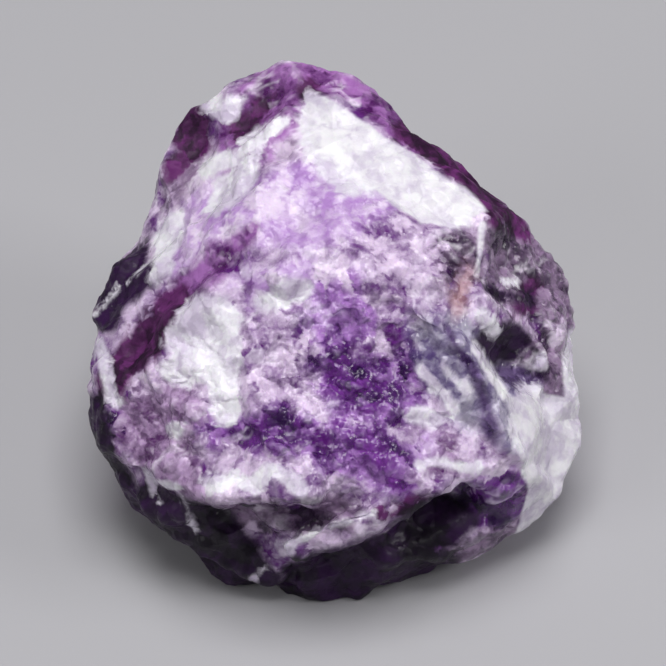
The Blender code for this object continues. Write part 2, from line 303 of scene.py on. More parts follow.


# Where each kind of crystal shows, and where some zones also paint shade or light. Where none lies, the lump
# is a granular mass of violet to lilac grains.
PATCHES: Mapping[Zone, tuple[Patch, ...]] = {
    Zone.MAUVE: (
        Oval(-12.2, -6.2, 3.6, 2.8, 10),
        Oval(-10.0, -10.6, 3.4, 1.4, -40),
        Oval(6.6, -8.6, 3.0, 1.8, 0),
        Cloud(7.0, 0.0, 71),
    ),
    Zone.SMOKE: (
        Oval(14.6, 4.4, 5.0, 3.6, -50),
        Oval(15.4, -2.6, 4.0, 2.4, 80),
        Oval(8.8, 4.6, 2.6, 1.8, 80),
        Oval(-10.0, 10.8, 2.6, 1.5, 62),
        Oval(-15.6, 3.4, 3.4, 1.6, 60),
        Oval(-3.0, 13.8, 1.0, 0.5, 50),
        # Painted shadow under the white ledge.
        Streak(1.3, ((-9.2, -12.6), (-4.4, -12.4), (0.6, -12.6))),
        Oval(10.4, -14.8, 3.4, 1.3, 24),
        Cloud(6.0, 0.25, 72),
    ),
    Zone.LILAC: (
        Oval(-2.4, 8.8, 6.4, 3.2, 12),
        Oval(-8.8, 8.6, 5.2, 2.2, 62),
        Oval(-3.0, 3.4, 4.0, 1.6, 10),
        Oval(12.6, -10.2, 4.4, 1.8, 10),
        Oval(5.6, -8.4, 1.6, 1.1, 20),
        Cloud(6.0, 0.3, 73),
    ),
    Zone.VIOLET: (
        Oval(0.4, 1.2, 2.4, 2.6, 0),
        Oval(2.2, -3.6, 3.6, 2.6, -20),
        Oval(2.4, -8.4, 3.4, 2.4, -30),
        Oval(-4.4, -6.8, 4.6, 1.5, -4),
        Oval(4.9, -2.6, 1.7, 1.4, 40),
        Cloud(5.0, 0.2, 74),
    ),
    Zone.ORCHID: (
        Streak(2.3, ((-6.2, 14.2), (-4.6, 15.6), (-2.4, 16.8))),
        Oval(-4.4, 17.6, 2.4, 1.3, 20),
        Oval(-5.6, 12.2, 2.0, 1.3, 30),
        Streak(1.0, ((2.9, 16.2), (4.2, 14.7), (5.8, 12.9))),
        Streak(0.9, ((-1.9, 18.9), (2.9, 16.9), (8.3, 12.2), (11.7, 9.4))),
        Streak(0.8, ((-5.6, 7.0), (-7.6, 5.3))),
        Streak(1.1, ((-7.6, 5.3), (-8.6, 4.3), (-11.4, 2.0))),
        Oval(12.6, -11.4, 2.6, 1.2, 16),
        Cloud(4.0, 0.45, 81),
    ),
    Zone.DEEP: (
        Oval(1.4, -3.2, 2.6, 1.7, -30),
        Oval(2.8, -8.0, 2.6, 1.5, -40),
        Oval(-4.6, -6.8, 2.6, 1.0, 10),
        Oval(4.9, -2.4, 1.1, 0.8, 40),
        Oval(10.6, -11.9, 3.0, 1.6, 14),
        Oval(-16.0, -6.0, 1.6, 1.0, 80),
        Cloud(4.0, 0.45, 80),
    ),
    Zone.GLASS: (
        Oval(8.2, -2.8, 4.4, 2.0, -60),
        Streak(1.3, ((8.6, 0.4), (11.4, -3.2), (13.0, -7.4))),
        Cloud(6.0, 0.55, 75),
    ),
    Zone.INDIGO: (
        Streak(0.38, ((7.8, 0.2), (9.5, -2.2), (10.6, -4.8), (11.0, -6.6))),
        Oval(10.9, -6.4, 1.1, 0.6, -75),
        Oval(13.0, -3.1, 1.8, 0.7, -10),
        Cloud(4.0, 0.6, 82),
    ),
    Zone.PLUM: (
        Oval(-9.9, 14.2, 2.3, 1.4, 72),
        Oval(-10.8, 12.2, 1.2, 0.8, 60),
        Oval(-6.4, 14.5, 1.5, 1.0, 50),
        Oval(-4.8, 16.0, 1.1, 0.7, 40),
        Oval(-2.1, 17.0, 1.1, 0.9, 40),
        Oval(-5.8, 11.9, 0.9, 0.7, 0),
        Streak(1.3, ((-10.8, 2.3), (-12.2, 0.7), (-13.8, -1.4), (-15.4, -3.4))),
        Streak(1.0, ((5.2, 14.2), (7.8, 12.2), (10.4, 9.9), (12.9, 7.6))),
        Streak(0.8, ((8.6, 12.4), (13.8, 7.2))),
        Streak(0.8, ((-16.4, 1.4), (-14.4, 5.6))),
        Streak(0.6, ((3.6, -12.5), (6.0, -11.8))),
        Oval(13.6, 2.4, 1.6, 1.0, 60),
        Cloud(5.0, 0.45, 76),
    ),
    # Dark violet crystal, and painted shade on the under faces, in the cave, on the left flank and on the
    # lower left wall.
    Zone.INK_AND_SHADE: (
        Oval(12.0, -0.8, 2.1, 1.5, 10),
        Oval(6.9, -13.2, 3.4, 1.9, 14),
        Oval(2.0, -17.4, 6.8, 3.0, 12),
        Streak(1.0, ((-2.6, -16.5), (3.7, -14.6), (6.0, -14.0))),
        Oval(-15.0, 3.8, 3.2, 1.5, 60),
        Streak(0.9, ((-13.4, 11.0), (-14.6, 7.6), (-15.4, 5.0))),
        Streak(1.0, ((-16.2, 0.8), (-13.2, 4.2))),
        Oval(-9.4, -15.2, 7.0, 3.4, -34),
        Streak(1.4, ((-17.0, -5.4), (-16.4, -9.0), (-14.1, -12.2), (-10.0, -15.8))),
        Streak(0.45, ((10.9, 2.9), (12.4, 2.7), (14.0, 2.1))),
        Cloud(5.0, 0.6, 77),
    ),
    Zone.FROST_AND_GLARE: (
        # Frosted white quartz on the crown, the shoulder and the left patch, painted bright enough to also
        # carry the overhead light's glare.
        Oval(0.2, 13.0, 4.4, 2.2, -50),
        Oval(6.2, 9.6, 3.6, 1.3, -36),
        Oval(-6.6, 10.6, 3.0, 1.1, 48),
        Oval(-11.7, 6.2, 2.6, 0.9, 72),
        Oval(-7.8, 16.0, 1.4, 0.8, 30),
        Streak(0.55, ((-9.0, 11.6), (-6.6, 12.8), (-3.6, 14.9))),
        Oval(-8.8, 0.4, 3.0, 2.0, 30),
        Facet((
            (-12.2, -2.4), (-11.2, -3.4), (-8.5, -3.6), (-6.3, -1.9), (-5.9, 1.2), (-7.3, 2.1), (-9.7, 0.5),
        )),
        Streak(1.1, ((-8.6, 0.0), (-7.4, -5.0))),
        Oval(-10.6, -6.8, 0.7, 0.6, 0),
        Oval(-3.6, 2.6, 2.0, 0.9, 12),
        # Painted light caught on the top of the white ledge.
        Streak(0.62, ((-8.3, -10.4), (-6.8, -9.9), (-5.4, -10.5), (-4.2, -9.4), (-2.1, -10.2))),
        Streak(0.15, ((-16.9, 1.4), (-12.9, 5.2))),
        Streak(0.1, ((-12.9, -10.0), (-11.9, -11.9))),
        Streak(0.24, ((-12.7, -10.1), (-10.8, -10.8), (-10.1, -12.2), (-9.4, -13.6))),
        # Painted highlight along the edge of the slant ledge.
        Streak(0.18, ((2.6, -12.6), (-1.2, -13.7), (-4.0, -14.8))),
        Streak(0.14, ((-2.4, -14.2), (-5.4, -17.0))),
        Streak(0.4, ((6.2, -2.6), (8.2, -5.4))),
        Streak(0.35, ((7.8, -2.2), (9.4, -4.2))),
        Oval(6.4, -5.8, 1.0, 0.5, -10),
        Oval(14.8, -7.9, 4.4, 2.0, -72),
        Streak(0.8, ((16.9, -0.5), (16.9, -6.0), (16.4, -9.7))),
        Oval(10.7, 0.7, 1.0, 0.6, -60),
        Oval(14.6, -1.9, 0.5, 0.35, 30),
        Oval(12.3, 3.7, 0.6, 0.35, 10),
        Streak(0.4, ((6.0, -9.0), (10.0, -9.2))),
        Streak(0.5, ((-16.4, -1.0), (-15.2, -4.4))),
        Cloud(5.0, 0.35, 78),
    ),
    Zone.SNOW_AND_GLARE: (
        # White facets on the crown, the shoulder and the foot: frosted quartz, painted bright enough to also
        # carry the glare.
        Facet((
            (-2.2, 16.8), (-2.0, 14.1), (-0.5, 11.6), (2.9, 10.2), (6.4, 10.6), (7.2, 11.3), (4.5, 13.4),
            (0.0, 16.4),
        )),
        Facet((
            (2.6, 12.4), (2.2, 10.9), (4.1, 8.8), (5.9, 7.5), (9.1, 7.8), (10.6, 8.6), (9.1, 10.2),
            (6.9, 11.4),
        )),
        Facet(((11.8, -4.1), (13.6, -7.2), (17.2, -9.0), (17.2, -4.9), (14.8, -4.4))),
        Facet(((13.6, -6.6), (13.9, -9.8), (17.2, -11.2), (17.2, -6.0))),
        Facet(((13.8, -8.8), (12.9, -14.4), (15.3, -12.9), (17.2, -11.2), (17.2, -8.0))),
        # The first streak paints the highlight along the foot's ridge.
        Streak(0.3, ((9.8, -0.9), (11.9, -4.2), (13.6, -7.4))),
        Streak(0.24, ((10.3, 7.5), (10.2, 5.6), (9.8, 3.9))),
    ),
    Zone.RUST: (
        Oval(8.8, 2.7, 1.6, 0.8, 80),
        Cloud(3.0, 0.85, 79),
    ),
}

# Where the lump is a rough bed of small crystals, and where it broke glassy, with hardly any grain.
GRAIN_BEDS = (
    Oval(0.4, -3.6, 8.5, 6.0, 70),
    Oval(-11.6, -5.4, 5.0, 4.4, 20),
    Oval(14.6, 3.0, 7.0, 4.0, -60),
    Oval(8.6, 4.0, 3.4, 3.0, 80),
    Cloud(9.0, 0.0, 91),
)
GLASSY_BREAKS = (
    Oval(0.4, 13.4, 6.8, 3.6, -48),
    Oval(6.8, 9.4, 4.4, 3.0, -38),
    Oval(-10.0, 9.0, 6.0, 2.6, 62),
    Oval(7.8, -4.0, 5.0, 2.4, -60),
    Oval(14.8, -7.8, 5.2, 2.8, -70),
    Oval(9.0, -13.4, 5.0, 2.4, 10),
    Cloud(8.0, 0.3, 92),
)


@dataclass(frozen=True)
class Ground:
    """What each place of the lump is like to break, from 0, not at all, to 1.

    Args:
        bed: How much it is a rough bed of small crystals.
        glassy: How much it is a glassy break.
        frosted: How much it is a frosted face.
    """

    bed: np.ndarray
    glassy: np.ndarray
    frosted: np.ndarray


@dataclass(frozen=True)
class Showing:
    """How strongly one kind of relief shows on each sort of ground.

    Args:
        plain: The strength on plain ground.
        bed: What a rough bed adds to it.
        glassy: The share that a glassy break takes away.
        frosted: The share that a frosted face takes away.
    """

    plain: float
    bed: float = 0.0
    glassy: float = 0.0
    frosted: float = 0.0

    def on(self, ground: Ground) -> np.ndarray:
        """The strength at each place."""
        calmed = (1 - self.glassy * ground.glassy) * (1 - self.frosted * ground.frosted)
        return (self.plain + self.bed * ground.bed) * calmed


@dataclass(frozen=True)
class Grains:
    """What the crystals of one size give at each place.

    Args:
        relief: How far the crystal stands out, in millimetres, where its faces slope by 45 degrees.
        tone: A number from 0 to 1 that is the same all over a crystal.
        lot: Another such number.
    """

    relief: np.ndarray
    tone: np.ndarray
    lot: np.ndarray


@dataclass(frozen=True)
class CrystalMass:
    """Blocky crystals of one size through the lump, each turned its own way, with flat faces that meet.

    Args:
        spacing: How far apart the crystals are, in millimetres.
        wander: How far their outlines wander, as a share of the spacing.
        seed: The seed of their places.
        showing: How strongly their relief shows.
        slimness: How thin a crystal is for its length, 1 for a cube.
        jitter: How far a crystal may lie from its place in an even lattice, as a share of the spacing.
        kinds: How many ways there are in which crystals are turned.
        spread: How much larger than the smallest a crystal may be, as a share of the spacing.
        level: How far from a crystal's middle its relief is nothing, as a share of the spacing.
    """

    spacing: float
    wander: float
    seed: int
    showing: Showing
    slimness: float = 0.75
    jitter: float = 0.38
    kinds: int = 64
    spread: float = 0.2
    level: float = 0.3

    def at(self, places: np.ndarray) -> Grains:
        """Finds the crystal at each place.

        Args:
            places: The (across, up, out) places, one a row.

        Returns:
            What the crystals there give.
        """
        middle = math.ceil(LUMP_REACH / self.spacing) + LATTICE_MARGIN
        side = 2 * middle + 1
        draw = np.random.default_rng(self.seed)
        jitter = draw.uniform(-self.jitter, self.jitter, (side, side, side, 3))
        turns = np.linalg.qr(draw.normal(size=(self.kinds, 3, 3)))[0] * np.array((1, 1, self.slimness))
        turn_of = draw.integers(0, len(turns), (side, side, side))
        height = draw.uniform(0, self.spread, (side, side, side))
        tones = draw.uniform(size=(side, side, side, 2))
        strayed = Unevenness(self.spacing, self.seed + 1, 3).at(places) * self.wander
        cells = places / self.spacing + strayed
        home = np.rint(cells).astype(int)
        nearest = np.full(len(places), np.inf)
        chosen = np.zeros((len(places), 2))
        for offset in itertools.product((-1, 0, 1), repeat=3):
            cell = home + offset
            index = tuple((cell + middle).T)
            from_centre = cells - cell - jitter[index]
            faces = np.einsum("pi,pij->pj", from_centre, turns[turn_of[index]])
            away = np.abs(faces).max(axis=1) - height[index]
            nearer = away < nearest
            nearest = np.where(nearer, away, nearest)
            chosen = np.where(nearer[:, None], tones[index], chosen)
        return Grains((self.level - nearest) * self.spacing, chosen[:, 0], chosen[:, 1])


@dataclass(frozen=True)
class ChipScars:
    """Shell-shaped scars where small chips broke away, each with a crisp rim.

    Args:
        count: How many there are.
        smallest: The smallest one's radius, in millimetres.
        largest: The largest one's radius, in millimetres.
        depth: How deep one is, as a share of its radius.
        lean: How far its bowl is deeper on one side, as a share of its depth.
        seed: The seed of their places.
        showing: How strongly they show.
    """

    count: int = 110
    smallest: float = 0.8
    largest: float = 3.4
    depth: float = 0.13
    lean: float = 0.3
    seed: int = 83
    showing: Showing = Showing(1.0, bed=-0.6, frosted=0.85)

    def at(self, places: np.ndarray) -> np.ndarray:
        """Breaks the chips away.

        Args:
            places: The (across, up, out) places, one a row.

        Returns:
            How far the scars stand out at each place, in millimetres, so less than 0 inside them.
        """
        draw = np.random.default_rng(self.seed)
        points = places[draw.integers(0, len(places), self.count)]
        radii = self.smallest + (self.largest - self.smallest) * draw.uniform(size=self.count) ** 2
        lean = draw.normal(size=(self.count, 3)) * self.lean
        relief = np.zeros(len(places))
        for point, radius, slope in zip(points, radii, lean, strict=True):
            offset = places - point
            away = np.linalg.norm(offset, axis=1)
            inside = away < radius
            share = away[inside] / radius
            bowl = (1 - share * share) * (1 + offset[inside] @ slope / radius)
            relief[inside] = np.minimum(relief[inside], -self.depth * radius * bowl)
        return relief


class Link:
    """The output of a shader node, so that shader maths is written as plain expressions."""

    def __init__(self, shader: "Shader", socket: bpy.types.NodeSocket) -> None:
        """Keeps the socket and the shader that it belongs to."""
        self.shader = shader
        self.socket = socket

    def _math(self, operation: str, first: "Link | float", second: "Link | float") -> "Link":
        """Adds the Math node of one operation.

        Args:
            operation: The Math node's operation.
            first: The first number or link.
            second: The second number or link.

        Returns:
            The node's output.
        """
        node = self.shader.node("ShaderNodeMath", {"operation": operation}, {0: first, 1: second})
        return self.shader.out(node, "Value")

    def __add__(self, other: "Link | float") -> "Link":
        """self + other."""
        return self._math("ADD", self, other)

    def __radd__(self, other: float) -> "Link":
        """other + self."""
        return self._math("ADD", other, self)

    def __sub__(self, other: "Link | float") -> "Link":
        """self - other."""
        return self._math("SUBTRACT", self, other)

    def __rsub__(self, other: float) -> "Link":
        """other - self."""
        return self._math("SUBTRACT", other, self)

    def __mul__(self, other: "Link | float") -> "Link":
        """self * other."""
        return self._math("MULTIPLY", self, other)

    def __rmul__(self, other: float) -> "Link":
        """other * self."""
        return self._math("MULTIPLY", other, self)

    def __abs__(self) -> "Link":
        """Self without its sign."""
        return self._math("ABSOLUTE", self, 0.0)


class Shader:
    """A material's node tree, and the few ways in which its nodes are added."""

    def __init__(self, name: str) -> None:
        """Makes the material with an empty node tree.

        Args:
            name: The material's name.
        """
        self.material = bpy.data.materials.new(name)
        self.material.use_nodes = True
        self.tree = self.material.node_tree
        self.tree.nodes.clear()

    def node(
        self,
        kind: str,
        settings: Mapping[str, object] | None = None,
        inputs: Mapping[int | str, object] | None = None,
    ) -> bpy.types.Node:
        """Adds a node.

        Args:
            kind: The node's type.
            settings: Its settings, set before its inputs.
            inputs: Values or links for its sockets, by number, name or identifier.

        Returns:
            The node.
        """
        node = self.tree.nodes.new(kind)
        for name, value in (settings or {}).items():
            setattr(node, name, value)
        for key, value in (inputs or {}).items():
            socket = self._socket(node.inputs, key)
            if isinstance(value, Link):
                self.tree.links.new(value.socket, socket)
            else:
                socket.default_value = value
        return node

    @staticmethod
    def _socket(sockets: bpy.types.bpy_prop_collection, key: int | str) -> bpy.types.NodeSocket:
        """Finds a socket.

        Args:
            sockets: A node's inputs or outputs.
            key: The socket's number, identifier or name.

        Returns:
            The socket.
        """
        if isinstance(key, int):
            return sockets[key]
        return next((s for s in sockets if s.identifier == key), None) or sockets[key]

    def out(self, node: bpy.types.Node, key: int | str) -> Link:
        """One output of a node."""
        return Link(self, self._socket(node.outputs, key))

    def attribute(self, kept: Zone | Mark) -> Link:
        """A number that the mesh keeps at each of its points."""
        settings = {"attribute_type": "GEOMETRY", "attribute_name": kept.value}
        return self.out(self.node("ShaderNodeAttribute", settings), "Fac")

    def vector_math(self, operation: str, first: object, second: object) -> Link:
        """One operation of the Vector Math node on two vectors."""
        node = self.node("ShaderNodeVectorMath", {"operation": operation}, {0: first, 1: second})
        return self.out(node, "Vector")

    def scaled(self, vector: Link, by: Link | float) -> Link:
        """A vector made longer or shorter."""
        node = self.node("ShaderNodeVectorMath", {"operation": "SCALE"}, {0: vector, "Scale": by})
        return self.out(node, "Vector")

    def millimetres(self) -> Link:
        """Each point's place in the frame, in millimetres."""
        return self.scaled(self.out(self.node("ShaderNodeTexCoord"), "Object"), 1 / MM)

    def noise(self, places: Link, size: float, detail: float = 4.0, rough: float = 0.5) -> Link:
        """Fractal noise, from 0 to 1 and mostly near 0.5.

        Args:
            places: The places, in millimetres.
            size: The size of its largest humps, in millimetres.
            detail: How many finer octaves it has.
            rough: How strong each finer octave is.

        Returns:
            The noise.
        """
        inputs = {"Vector": places, "Scale": 1 / size, "Detail": detail, "Roughness": rough}
        return self.out(self.node("ShaderNodeTexNoise", None, inputs), "Fac")

    def facets(self, places: Link, size: float, tilt: float) -> tuple[Link, Link]:
        """Small flat crystal faces.

        Args:
            places: The places, in millimetres.
            size: The size of a face, in millimetres.
            tilt: How far a face may lean each way, as a slope.

        Returns:
            The way that each face leans, and a random number for each face.
        """
        cells = self.node("ShaderNodeTexVoronoi", None, {"Vector": places, "Scale": 1 / size})
        colour = self.out(cells, "Color")
        parts = self.node("ShaderNodeSeparateColor", None, {"Color": colour})
        return self.scaled(self.centred(colour), tilt / MIDDLE), self.out(parts, "Red")

    def centred(self, colour: Link) -> Link:
        """A random colour turned into a vector that points any way."""
        return self.vector_math("SUBTRACT", colour, (MIDDLE, MIDDLE, MIDDLE))

    def leaning(self, leans: Iterable[Link]) -> Link:
        """Tilts the surface's own direction.

        Args:
            leans: What is added to that direction.

        Returns:
            The direction that the surface then faces in.
        """
        facing = self.out(self.node("ShaderNodeNewGeometry"), "Normal")
        for lean in leans:
            facing = self.vector_math("ADD", facing, lean)
        return self.vector_math("NORMALIZE", facing, (0, 0, 0))

    def ease(self, value: Link, start: float, end: float) -> Link:
        """Fades from 0 to 1.

        Args:
            value: The number that decides.
            start: Where it gives 0.
            end: Where it gives 1.

        Returns:
            0 on start's side, 1 on end's side and smooth between them.
        """
        settings = {"interpolation_type": "SMOOTHSTEP"}
        inputs = {"Value": value, "From Min": start, "From Max": end}
        return self.out(self.node("ShaderNodeMapRange", settings, inputs), "Result")

    def blend(self, share: Link | float, first: object, second: object) -> Link:
        """A colour between two: first where share is 0 and second where it is 1."""
        inputs = {"Factor_Float": share, "A_Color": first, "B_Color": second}
        return self.out(self.node("ShaderNodeMix", {"data_type": "RGBA"}, inputs), "Result_Color")

    def between(self, share: Link, first: Link | float, second: Link | float) -> Link:
        """A number between two: first where share is 0 and second where it is 1."""
        inputs = {"Factor_Float": share, "A_Float": first, "B_Float": second}
        return self.out(self.node("ShaderNodeMix", {"data_type": "FLOAT"}, inputs), "Result_Float")

    def warped(self, places: Link, size: float, by: float, detail: float = 2.0) -> Link:
        """Moves places about.

        Args:
            places: The places, in millimetres.
            size: The size of the noise that moves them, in millimetres.
            by: Twice the furthest that it moves them, about, in millimetres.
            detail: How many finer octaves that noise has.

        Returns:
            The moved places.
        """
        noise = self.node("ShaderNodeTexNoise", None, {"Vector": places, "Scale": 1 / size, "Detail": detail})
        return self.vector_math("ADD", places, self.scaled(self.centred(self.out(noise, "Color")), by))

    def principled(self, inputs: Mapping[str, object]) -> Link:
        """A surface with colour, gloss and see-through parts."""
        return self.out(self.node("ShaderNodeBsdfPrincipled", None, inputs), "BSDF")

    def finished(self, inputs: Mapping[str, Link]) -> bpy.types.Material:
        """The material, once it has its surface and what fills it."""
        self.node("ShaderNodeOutputMaterial", None, inputs)
        return self.material


Colour = tuple[float, float, float, float]


def paint(red: int, green: int, blue: int) -> Colour:
    """A shader's colour, fully opaque, from red, green and blue as a screen shows them."""
    screen = Color((red / SCREEN_STEPS, green / SCREEN_STEPS, blue / SCREEN_STEPS))
    return (*screen.from_srgb_to_scene_linear(), 1.0)


@dataclass(frozen=True)
class CrystalFinish:
    """How one kind of crystal looks.

    Args:
        dark: The colour of its darkest crystals.
        light: The colour of its palest crystals.
        roughness: Its roughness.
        clearness: The share of it that is see-through, from 0 to 1.
        ragged: How far its patches' outlines wander, in millimetres.
        soft: How wide its patches' outlines fade, in millimetres.
        blocky: How far its patches' outlines follow whole crystals, in millimetres.
        sparkle: How far its small crystal faces lean, as a share of the finish's own tilt.
    """

    dark: Colour
    light: Colour
    roughness: float
    clearness: float
    ragged: float = 1.2
    soft: float = 0.4
    blocky: float = 0.9
    sparkle: float = 1.0


ZONE_FINISHES: Mapping[Zone, CrystalFinish] = {
    Zone.MAUVE: CrystalFinish(paint(88, 42, 100), paint(206, 174, 216), 0.24, 0.12, 0.8, 0.5),
    Zone.SMOKE: CrystalFinish(paint(48, 24, 60), paint(172, 144, 180), 0.24, 0.2, 1.2, 0.5),
    Zone.LILAC: CrystalFinish(paint(184, 140, 208), paint(240, 222, 247), 0.26, 0.08, 0.9, 0.8),
    Zone.VIOLET: CrystalFinish(paint(84, 18, 116), paint(202, 146, 230), 0.18, 0.3, 0.8, 0.5),
    Zone.ORCHID: CrystalFinish(paint(84, 16, 98), paint(190, 128, 206), 0.22, 0.25, 0.5, 0.4, 0.4, 0.5),
    Zone.DEEP: CrystalFinish(paint(50, 4, 78), paint(140, 66, 174), 0.16, 0.35, 0.8, 0.4),
    Zone.GLASS: CrystalFinish(paint(108, 86, 146), paint(222, 214, 238), 0.12, 0.4, 0.5, 0.6, 0.3, 0.6),
    Zone.INDIGO: CrystalFinish(paint(48, 24, 72), paint(140, 116, 168), 0.2, 0.25, 0.3, 0.35, 0.15, 0.3),
    Zone.PLUM: CrystalFinish(paint(34, 0, 36), paint(104, 40, 106), 0.66, 0.0, 0.45, 0.35, 0.5, 0.2),
    # Near black, since it also paints shade.
    Zone.INK_AND_SHADE: CrystalFinish(paint(14, 2, 22), paint(50, 16, 66), 0.5, 0.08, 0.4, 0.35, 0.25, 0.4),
    # A white that is both frosted quartz and painted glare.
    Zone.FROST_AND_GLARE: CrystalFinish(paint(206, 194, 216), paint(241, 239, 245), 0.26, 0.0, 0.45, 0.25, 0.35, 0.7),
    # Clean white of frosted quartz and painted glare.
    Zone.SNOW_AND_GLARE: CrystalFinish(paint(198, 188, 208), paint(236, 234, 238), 0.28, 0.0, 0.14, 0.16, 0.12, 0.4),
    Zone.RUST: CrystalFinish(paint(140, 100, 110), paint(204, 170, 182), 0.4, 0.0, 0.5, 0.6, 0.4, 0.5),
}


@dataclass(frozen=True)
class Mottle:
    """One pattern of soft noise in how pale the crystal is.

    Args:
        weight: How strong it is.
        size: The size of its largest humps, in millimetres.
        detail: How many finer octaves it has.
        rough: How strong each finer octave is.
        warp_size: The size of the noise that moves the pattern about, in millimetres.
        warp_by: Twice the furthest that it is moved about, in millimetres.
        drawn_out: How much it is squeezed across the way the crystal grew, 1 for not at all.
    """

    weight: float
    size: float
    detail: float
    rough: float
    warp_size: float = 1.0
    warp_by: float = 0.0
    drawn_out: float = 1.0


@dataclass(frozen=True)
class AmethystFinish:
    """The amethyst's material: cloudy crystal mixed with clear crystal, both laid out by the mesh's zones.

    Args:
        grain: The granular crystal wherever no zone lies.
        mottles: The patterns of soft noise in how pale the crystal is.
        coarse_weight: How much one coarse crystal may be paler than the next.
        fine_weight: How much one small crystal may be paler than the next.
        paleness: What is added to that.
        tones: The sums of all that which give the darkest and the palest colour.
        veil_and_highlight_colour: The colour of veils, and of the painted highlight on sharp edges.
        hollow_shade_colour: The colour of the painted shade in hollows between crystals.
        hollows: How far out of its surroundings a hollow's painted shade starts and is at its full, in
            millimetres.
        edges: The same for the painted highlight on an edge.
        hollow_shade_share: How much of a hollow's colour is the painted shade.
        edge_highlight_share: How much of an edge's colour is the painted highlight.
        edge_haze: The share of its clearness that an edge loses.
        veil_share: How much of a veil's colour is the pale one.
        veil_size: The size of the veils, in millimetres.
        veil_detail: How many finer octaves their noise has.
        veil_width: How wide a veil is, in steps of its noise.
        veil_gaps: The size of the gaps between groups of veils, in millimetres.
        veil_gaps_detail: How many finer octaves the noise of those gaps has.
        veil_span: That noise where veils start and are at their full.
        veil_drawn_out: How much veils are drawn out along the way the crystal grew.
        veiled: The last kind of crystal that veils, the painted shade in hollows and the painted highlight on
            sharp edges are laid over.
        ragged_size: The size of the raggedness of the patches' outlines, in millimetres.
        ragged_detail: How many finer octaves it has.
        ragged_rough: How strong each finer octave is.
        sparkle_size: The size of the smallest crystal faces, in millimetres.
        sparkle_tilt: How far they lean, as a slope.
        finer_size: The size of the faces on those, as a share.
        finer_tilt: How far these lean, as a share.
        glint: How much smoother or rougher one small face is than the next.
        streak_angle: How far the way the crystal grew is turned from lying across, in degrees.
        gloss: How strongly cloudy crystal mirrors.
        glow: How much light goes into cloudy crystal and comes out again.
        glow_reach: How far that light goes, in metres, for red, green and blue.
        clear_colour: The colour of clear crystal's surface.
        clear_roughness: The roughness of clear crystal.
        depth_colour: The colour of light that has gone through the crystal.
        depth_density: How quickly the crystal takes light away, a metre.
        refraction: The crystal's index of refraction.
    """

    grain: CrystalFinish = CrystalFinish(paint(100, 32, 126), paint(244, 222, 252), 0.22, 0.16)
    mottles: tuple[Mottle, ...] = (
        Mottle(1.0, 4.5, 3.0, 0.5, warp_size=4.0, warp_by=2.5),
        Mottle(0.8, 0.9, 6.0, 0.7, warp_size=0.9, warp_by=0.7),
        Mottle(0.4, 0.9, 4.0, 0.6, drawn_out=2.4),
    )
    coarse_weight: float = 0.32
    fine_weight: float = 0.4
    paleness: float = 0.14
    tones: tuple[float, float] = (0.12, 0.88)
    veil_and_highlight_colour: Colour = paint(246, 240, 250)
    hollow_shade_colour: Colour = paint(40, 14, 46)
    hollows: tuple[float, float] = (-0.02, -0.3)
    edges: tuple[float, float] = (0.04, 0.28)
    hollow_shade_share: float = 0.35
    edge_highlight_share: float = 0.25
    edge_haze: float = 0.5
    veil_share: float = 0.4
    veil_size: float = 2.4
    veil_detail: float = 3.0
    veil_width: float = 0.07
    veil_gaps: float = 3.4
    veil_gaps_detail: float = 2.0
    veil_span: tuple[float, float] = (0.5, 0.62)
    veil_drawn_out: float = 1.8
    veiled: Zone = Zone.GLASS
    ragged_size: float = 1.5
    ragged_detail: float = 6.0
    ragged_rough: float = 0.62
    sparkle_size: float = 0.56
    sparkle_tilt: float = 0.23
    finer_size: float = 0.45
    finer_tilt: float = 0.6
    glint: float = 0.2
    streak_angle: float = 38.0
    gloss: float = 0.26
    glow: float = 0.18
    glow_reach: tuple[float, float, float] = (0.0005, 0.00035, 0.0006)
    clear_colour: Colour = paint(240, 226, 248)
    clear_roughness: float = 0.14
    depth_colour: Colour = paint(190, 116, 216)
    depth_density: float = 420.0
    refraction: float = 1.55

    def mottle(self, shader: Shader, places: Link) -> Link:
        """Works out how pale the crystal is: whole crystals, soft clouds, grains and fine streaks.

        Args:
            shader: The material's node tree.
            places: The places, in millimetres.

        Returns:
            0 where the crystal is darkest and 1 where it is palest.
        """
        pale = shader.attribute(Mark.COARSE_TONE) * self.coarse_weight
        pale = pale + shader.attribute(Mark.FINE_TONE) * self.fine_weight + self.paleness
        for mottle in self.mottles:
            moved = places
            if mottle.warp_by:
                moved = shader.warped(moved, mottle.warp_size, mottle.warp_by)
            if mottle.drawn_out != 1:
                moved = self.drawn_out(shader, moved, mottle.drawn_out)
            noise = shader.noise(moved, mottle.size, mottle.detail, mottle.rough)
            pale = pale + (noise - MIDDLE) * mottle.weight
        return shader.ease(pale, *self.tones)

    def drawn_out(self, shader: Shader, places: Link, by: float) -> Link:
        """Squeezes places along the way the crystal grew, so that a pattern is drawn out into streaks.

        Args:
            shader: The material's node tree.
            places: The places, in millimetres.
            by: How many times longer the pattern gets.

        Returns:
            The squeezed places.
        """
        lump = Matrix.Rotation(FACE_SLOPE, 3, "X") @ Matrix.Rotation(math.radians(self.streak_angle), 3, "Z")
        inputs = {"Vector": places, "Rotation": lump.to_euler(), "Scale": (by, 1.0, 1.0)}
        node = shader.node("ShaderNodeMapping", {"vector_type": "TEXTURE"}, inputs)
        return shader.out(node, "Vector")

    def veils(self, shader: Shader, places: Link) -> Link:
        """Lays thin pale wisps where the crystal has healed cracks.

        Args:
            shader: The material's node tree.
            places: The places, in millimetres.

        Returns:
            1 in the middle of a wisp and 0 away from it.
        """
        drawn_out = self.drawn_out(shader, places, self.veil_drawn_out)
        noise = shader.noise(drawn_out, self.veil_size, self.veil_detail)
        here = shader.ease(shader.noise(places, self.veil_gaps, self.veil_gaps_detail), *self.veil_span)
        return shader.ease(abs(noise - MIDDLE), self.veil_width, 0.0) * here

